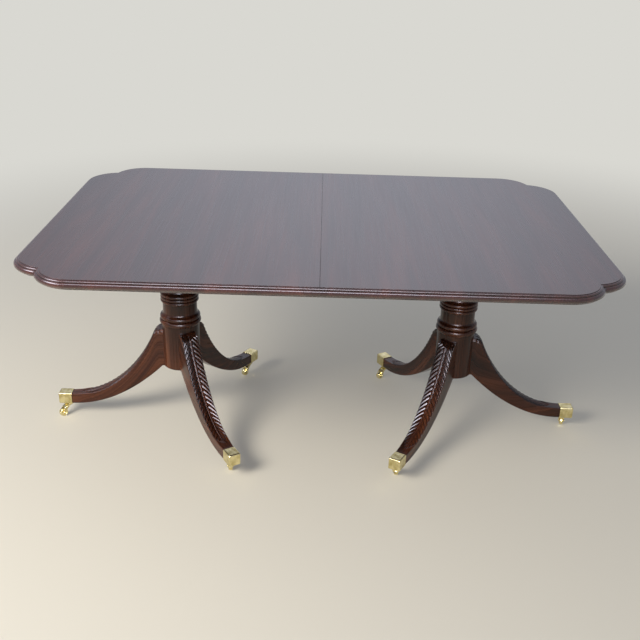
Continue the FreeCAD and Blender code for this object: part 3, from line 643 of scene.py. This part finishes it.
# %% Feather carving
def feather(run, offset, breadth, length):
    """Depth of the carving below the leg's face at a running length and an offset from the middle.

    The leaf is a little wider than the face and narrows to its tip as sin^0.7. With u for the offset over its
    half width, the spine falls as u^5. Beyond the spine, s runs from 0 to 1, and the blade lies
    spine depth * (1 - s)^3 + tip fall * s^3 deep, so that it is highest half way out. Leaflets lean to the
    toe: w, from 0 to 1 across one leaflet, is the fraction of
    (run - lean * offset - growth * offset^2) / pitch, with a slow sine along the run that differs from side
    to side, because no two gouge cuts are alike. Gaps are as deep as 1 - sin(pi w)^0.85, and grow with s.
    """
    away = np.abs(offset)
    stop = length - plain_toe
    to_go = np.clip((stop - run) / tip_taper, 0, 1)
    half_leaf = np.maximum(leaf_share * breadth * np.sin(to_go * math.pi / 2) ** 0.7, MM)
    u = away / half_leaf
    s = np.clip((u - spine_share) / (1 - spine_share), 0, 1)
    swayed = run + sway * np.sin(run / sway_length * 2 + np.sign(offset)) * np.sin(run / sway_length)
    w = ((swayed - leaflet_lean * away - lean_growth * away ** 2) / leaflet_pitch) % 1
    gap_growth = gap_root_share + (1 - gap_root_share) * s
    gap = gap_depth * gap_growth * (1 - np.sin(math.pi * w) ** gap_power)
    vein = vein_depth * np.exp(-((w - vein_place) / vein_width) ** 2) * np.sin(math.pi * s)
    blade = spine_depth * (1 - s) ** 3 + tip_fall * s ** 3 + gap + vein
    depth = np.where(u < spine_share, spine_depth * (u / spine_share) ** 5, blade)
    beyond = tip_fall * np.exp(-np.clip(away - half_leaf, 0, None) / trim_fade)
    depth = np.where(u > 1, beyond, depth * (tip_share + (1 - tip_share) * to_go))
    crown = leaf_start + start_fade * np.cos(crown_lobes * math.pi * offset / breadth)
    begin = np.clip((run - crown) / start_fade, 0, 1)
    end = np.clip((stop + start_fade - run) / start_fade, 0, 1)
    return depth * begin * end, begin * end


# %% Stack of sections
def leg_stack(section_count=480, across_count=72, side_count=9, arris=0.8 * MM):
    """Rings of a leg along +X from the column's axis: top face, side, bottom and side of every section.

    The relief paints the face darker near the column and paler towards the toe, as shade and light fall
    on it, and paints shade into the carving's cuts, the deeper the darker. The walls are paler towards the
    toe: painted light, and wear where the toes are rubbed.
    """
    toe_light_and_wear, face_light_gain, face_shade, cut_shade_depth = 0.35, 0.7, 0.5, 3 * MM
    darkest, palest = -0.95, 0.2
    top_points, bottom_points, run = leg_curves(section_count)
    tangent = np.gradient(top_points, axis=0)
    tangent /= np.linalg.norm(tangent, axis=1)[:, None]
    normal = np.stack((-tangent[:, 1], tangent[:, 0]), -1)
    breadth = half_breadth(top_points[:, 0])[:, None]
    offset = np.linspace(-1, 1, across_count)[None, :] * (breadth - arris)
    depth, carved = feather(run[:, None], offset, breadth, run[-1])
    face = np.empty((section_count, across_count, 3))
    face[..., ::2] = top_points[:, None] - normal[:, None] * depth[..., None]
    face[..., 1] = offset

    def side_wall(edge, sign):
        """Wall from the carved edge of the face down to the bottom curve, with a small arris at both ends."""
        tall = np.linalg.norm(edge[:, ::2] - bottom_points, axis=1)[:, None]
        fall = np.linspace(0, 1, side_count)[None, :] * (1 - 2 * arris / tall) + arris / tall
        wall = np.empty((section_count, side_count, 3))
        wall[..., ::2] = edge[:, None, ::2] + (bottom_points - edge[:, ::2])[:, None] * fall[..., None]
        wall[..., 1] = sign * half_breadth(wall[..., 0])
        return wall

    sole = np.empty((section_count, side_count, 3))
    sole[..., ::2] = bottom_points[:, None]
    sole[..., 1] = np.linspace(1, -1, side_count) * (half_breadth(bottom_points[:, 0])[:, None] - arris)
    rings = np.concatenate((face, side_wall(face[:, -1], 1), sole, side_wall(face[:, 0], -1)[:, ::-1]), 1)
    rings = np.concatenate((rings, rings[-1:] + (toe_in_cup, 0, 0)))
    # Painted light and wear: the walls grow paler towards the toe, lit below the top and rubbed at the toe
    run_share = np.append(run, run[-1])[:, None] / run[-1]
    relief = np.repeat(toe_light_and_wear * run_share ** 2, rings.shape[1], 1)
    # Painted shade on the face: darker near the column and deeper in the cuts; painted light towards the toe
    face_painted_shade = face_shade + depth / cut_shade_depth * carved
    relief[:-1, :across_count] = np.clip(run_share[:-1] * face_light_gain - face_painted_shade, darkest, palest)
    step = np.linalg.norm(np.diff(rings, axis=1, append=rings[:, :1]), axis=2)
    uv = np.empty((rings.shape[0], rings.shape[1] + 1, 2))
    uv[..., 0] = np.append(run, run[-1] + toe_in_cup)[:, None]
    uv[..., 1] = np.concatenate((np.zeros((len(rings), 1)), np.cumsum(step, axis=1)), 1)
    return rings, uv, relief


# %% Six carved legs
def stand_round(rings, side, angle):
    """Rings turned about the upright axis by an angle in degrees, and moved to the column of a side."""
    turn = np.array(Matrix.Rotation(math.radians(angle), 3, "Z"))
    return rings @ turn.T + (column_x[side], 0, 0)


stack, stack_uv, stack_relief = leg_stack()
leg_angles = {"left": {"outer": 180, "front": 300, "back": 60},
              "right": {"outer": 0, "front": 240, "back": 120}}
for side, angles in leg_angles.items():
    for name, angle in angles.items():
        figure_shift = (angle / 100, angle / 70)
        placed = stand_round(stack, side, angle)
        mesh = ring_mesh("leg", placed, stack_uv + figure_shift, stack_relief, sharp_angle=65)
        piece(f"carved_leg_{side}_{name}", mesh, f"{side}_half", "mahogany", leg_mahogany,
              f"{side}_leg_{name}")

# %% [markdown]
# The brass cups on the toes. They are square castings, filed and buffed until every outer edge is round, and
# those round edges are what shines. So each cup is a profile carried round a rectangle with round corners:
# from the bottom of its hollow along the inner wall, over the lip, along the outer wall and round the edge to
# the end face. An inset of the profile shrinks the rectangle and its corner radius together. The cup's
# underside is lifted by a hair, so that the heads of its screw and caster show in it.


# %% Rectangle with round corners
def round_rectangle(half_wide, half_tall, inset, radius, count=7, least_radius=0.4 * MM):
    """Points of a rectangle less an inset: (half size - radius) * corner signs + radius * (cos a, sin a).

    The radius shrinks with the inset. Each corner has one more point on either side, a little way along the
    flat, which keeps the flat shaded flat.
    """
    quarter = np.concatenate(((0,), np.linspace(0, 90, count), (90,)))
    angle = np.radians(quarter + np.arange(0, 360, 90)[:, None])
    direction = np.stack((np.cos(angle), np.sin(angle)), -1)
    corner = np.sign(np.round(direction[:, :1] + direction[:, -1:]))
    along = np.zeros_like(direction)
    along[:, 0] = -direction[:, -1] * holding_strip
    along[:, -1] = -direction[:, 0] * holding_strip
    left = np.maximum(radius - inset, least_radius)[:, None, None, None]
    half = np.array((half_wide, half_tall)) - inset[:, None, None, None]
    return (corner * (half - left) + left * direction + along).reshape(len(inset), -1, 2)


# %% Profile of a cup
cup_low, cup_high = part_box("left_cup_outer")
cup_wall, cup_lip, cup_round, cup_lift = 2.2 * MM, 0.5 * MM, 4 * MM, 0.15 * MM
cup_mouth, cup_end = column_x["left"] - cup_high.x, column_x["left"] - cup_low.x
quarter_bulge = 0.293 * cup_round
round_over = bulge((cup_end - cup_round, 0), (cup_end, cup_round), -quarter_bulge, count=8)
cup_profile = np.array([
    (cup_end - cup_wall, cup_wall), (cup_mouth + cup_lip, cup_wall), (cup_mouth, cup_wall - cup_lip),
    (cup_mouth, cup_lip), (cup_mouth + cup_lip, 0), (cup_mouth + cup_lip + holding_strip, 0),
    (cup_end - cup_round - holding_strip, 0), (cup_end - cup_round, 0), *round_over,
    (cup_end, cup_round + holding_strip),
])
print(len(cup_profile), "points along a cup of", round((cup_end - cup_mouth) / MM, 1), "mm")

# %% Six brass cups
sections = round_rectangle(cup_high.y, (cup_high.z - cup_low.z) / 2, cup_profile[:, 1], cup_round)
cup_stack = np.empty((*sections.shape[:2], 3))
cup_stack[..., 0] = cup_profile[:, :1]
cup_stack[..., 1:] = sections + (0, (cup_high.z + cup_low.z) / 2)
cup_stack[..., 2] = np.maximum(cup_stack[..., 2], cup_low.z + cup_lift)
for side, angles in leg_angles.items():
    for name, angle in angles.items():
        mesh = ring_mesh("cup", stand_round(cup_stack, side, angle), sharp_angle=50)
        piece(f"toe_cup_{side}_{name}", mesh, f"{side}_half", "brass", cast_brass, f"{side}_cup_{name}")

# %% [markdown]
# The stage starts with a plain pale floor. Its grey fades to one even pale colour some metres away, sooner on
# the side of the lamp, where a lit floor would glare. The backdrop has that colour too, so that no horizon
# shows. Only the camera and the polish see the fade. To every other ray the floor is a plain matt one.

# %% Floor
backdrop_colour = "#d9d8d2"
fade_centre = (0.4, 0.45, 0)
fade_start, fade_end, near_share = 1.3, 4.2, 0.22
floor_size = 80


def pale_floor(size):
    """Square floor of one face, in a matt pale grey that fades to the backdrop with the distance."""
    material = new_material("pale_studio_floor")
    shader = add_node(material, "BsdfPrincipled", {"Base Color": linear("#d4d1c4"), "Roughness": 0.75})
    place = add_node(material, "TexCoord").outputs["Object"]
    away = add_node(material, "VectorMath", {0: place, 1: fade_centre}, operation="DISTANCE")
    fade = add_node(material, "MapRange", {"Value": away.outputs["Value"], "From Min": fade_start,
                                           "From Max": fade_end, "To Min": near_share, "To Max": 1},
                    interpolation_type="SMOOTHSTEP")
    rays = add_node(material, "LightPath").outputs
    seen = add_node(material, "Math", {0: rays["Is Camera Ray"], 1: rays["Is Glossy Ray"]},
                    operation="MAXIMUM")
    share = add_node(material, "Math", {0: fade.outputs[0], 1: seen.outputs[0]}, operation="MULTIPLY")
    backdrop = add_node(material, "Emission", {"Color": linear(backdrop_colour)})
    mixed = add_node(material, "MixShader", {0: share.outputs[0], 1: shader.outputs[0],
                                             2: backdrop.outputs[0]})
    add_node(material, "OutputMaterial", {"Surface": mixed.outputs[0]})
    mesh = bpy.data.meshes.new("floor")
    corners = np.array(((-1, -1, 0), (1, -1, 0), (1, 1, 0), (-1, 1, 0))) * size / 2
    mesh.from_pydata(corners, [], [(0, 1, 2, 3)])
    mesh.materials.append(material)
    floor = bpy.data.objects.new("floor", mesh)
    bpy.context.scene.collection.objects.link(floor)
    print("floor of", size, "m")


pale_floor(floor_size)

# %% [markdown]
# One large soft lamp lights the table. It stands high in front and to the left, as in the photograph, so the
# table's shadow falls behind its middle. Polish also needs something bright to mirror along its round edges,
# and that is what the cards are for. They show in gloss alone and light nothing, so they can be bright
# without bleaching the wood. From behind, the flat top would mirror the three lowest cards as one white
# sheet, so these shine only on the pieces under the top.


# %% Soft lamp
def soft_lamp(name, place, aim, width, height, power, tint, card=False, receivers=None):
    """Area lamp that faces a point: a card is seen in gloss alone, a lamp lights alone.

    With x and y from 0 to 1 over the lamp, its light fades to the edges as 16 x (1 - x) y (1 - y), as behind
    a cloth. Receivers is the collection that it shines on, if it isn't for everything.
    """
    lamp = bpy.data.lights.new(name, "AREA")
    lamp.shape = "RECTANGLE"
    lamp.size = width
    lamp.size_y = height
    lamp.energy = power
    lamp.color = linear(tint)[:3]
    holder = bpy.data.objects.new(name, lamp)
    bpy.context.scene.collection.objects.link(holder)
    facing = (Vector(place) - Vector(aim)).to_track_quat("Z", "Y").to_matrix().to_4x4()
    holder.matrix_world = Matrix.Translation(place) @ facing
    holder.visible_camera = False
    holder.visible_diffuse = not card
    holder.visible_glossy = card
    holder.light_linking.receiver_collection = receivers
    lamp.use_nodes = True
    lamp.node_tree.nodes.clear()
    across = add_node(lamp, "NewGeometry").outputs["Parametric"]
    inward = add_node(lamp, "VectorMath", {0: (1, 1, 1), 1: across}, operation="SUBTRACT")
    hump = add_node(lamp, "VectorMath", {0: across, 1: inward.outputs[0]}, operation="MULTIPLY")
    parts = add_node(lamp, "SeparateXYZ", {0: hump.outputs[0]}).outputs
    level = add_node(lamp, "Math", {0: parts[0], 1: parts[1]}, operation="MULTIPLY")
    strength = add_node(lamp, "Math", {0: level.outputs[0], 1: 16}, operation="MULTIPLY")
    glow = add_node(lamp, "Emission", {"Strength": strength.outputs[0]})
    add_node(lamp, "OutputLight", {"Surface": glow.outputs[0]})


# %% Lamp and cards
soft_lamp("key", (-2.7, -2.7, 2.8), (0, 0, 0.4), 2.6, 2.0, 560, "#fff6ea")
under_top = bpy.data.collections.new("under_the_top")
for made in bpy.context.scene.objects:
    if made.type == "MESH" and not made.name.startswith("top_") and made.name != "floor":
        under_top.objects.link(made)
# Place and aim, width and height in metres, watts, tint and receivers of each card
cards = {
    "window_card": ((-0.3, -2.2, 4.6), (0, -0.5, 0.6), 4.5, 2.0, 320, "#f2f1ff", None),
    "side_card": ((-3.4, -1.2, 3.6), (-0.7, -0.3, 0.7), 3.6, 2.0, 300, "#f2f1ff", None),
    "door_card": ((0.1, -3.6, 0.42), (0.1, 0, 0.42), 3.4, 0.6, 130, "#f6f4ff", under_top),
    "tall_card": ((-0.1, -3.4, 2.6), (0, -0.5, 0.4), 2.0, 3.4, 600, "#f6f4ff", under_top),
    "wide_card": ((-0.5, -3.6, 3.0), (0, -0.5, 0.4), 6.5, 4.5, 800, "#eeeeff", under_top),
}
for name, (*settings, receivers) in cards.items():
    soft_lamp(name, *settings, card=True, receivers=receivers)
print("lamps:", [lamp.name for lamp in bpy.data.lights])

# %% [markdown]
# The sky gives an even pale light. In the polish it is brighter right behind the table, as if a pale screen
# stood there, and that is what turns the dark top grey. The camera sees the colour that the floor fades to.

# %% Sky
sky_light, side_gloss, screen_gloss = 0.36, 0.5, 0.98
screen_direction, screen_edge, screen_middle = (0.02, 0.848, 0.53), 0.915, 0.985
world = bpy.data.worlds.new("pale_sky")
world.use_nodes = True
world.node_tree.nodes.clear()
rays = add_node(world, "LightPath").outputs
facing = add_node(world, "TexCoord").outputs["Generated"]
ahead = add_node(world, "VectorMath", {0: facing, 1: screen_direction}, operation="DOT_PRODUCT")
glow = add_node(world, "MapRange", {"Value": ahead.outputs["Value"], "From Min": screen_edge,
                                    "From Max": screen_middle, "To Min": side_gloss, "To Max": screen_gloss})
level = add_node(world, "MapRange", {"Value": rays["Is Glossy Ray"], "To Min": sky_light,
                                     "To Max": glow.outputs[0]})
sky = add_node(world, "Background", {"Color": linear("#e2e5f3"), "Strength": level.outputs[0]})
backdrop = add_node(world, "Background", {"Color": linear(backdrop_colour)})
seen = add_node(world, "MixShader", {0: rays["Is Camera Ray"], 1: sky.outputs[0], 2: backdrop.outputs[0]})
add_node(world, "OutputWorld", {"Surface": seen.outputs[0]})
bpy.context.scene.world = world
bpy.context.scene.view_settings.view_transform = "Standard"
print("sky:", world.name)

# %% [markdown]
# The camera stands in front of the table at the eye height of someone standing, looking down. Its place, turn
# and focal length were fitted to the table's corners, feet and columns in the photograph.

# %% Camera
camera_place = (-0.002, -2.720, 1.622)
camera_pitch, camera_roll, camera_yaw = (math.radians(angle) for angle in (24.302, 1.775, -0.142))
focal_length_px = 877.893
picture_px = 640
lens = bpy.data.cameras.new("camera")
lens.sensor_width = 36
lens.lens = focal_length_px * lens.sensor_width / picture_px
camera = bpy.data.objects.new("camera", lens)
bpy.context.scene.collection.objects.link(camera)
camera.matrix_world = (Matrix.Translation(camera_place) @ Matrix.Rotation(camera_yaw, 4, "Z")
                       @ Matrix.Rotation(math.pi / 2 - camera_pitch, 4, "X")
                       @ Matrix.Rotation(camera_roll, 4, "Z"))
bpy.context.scene.camera = camera
print("lens", round(lens.lens, 2), "mm")
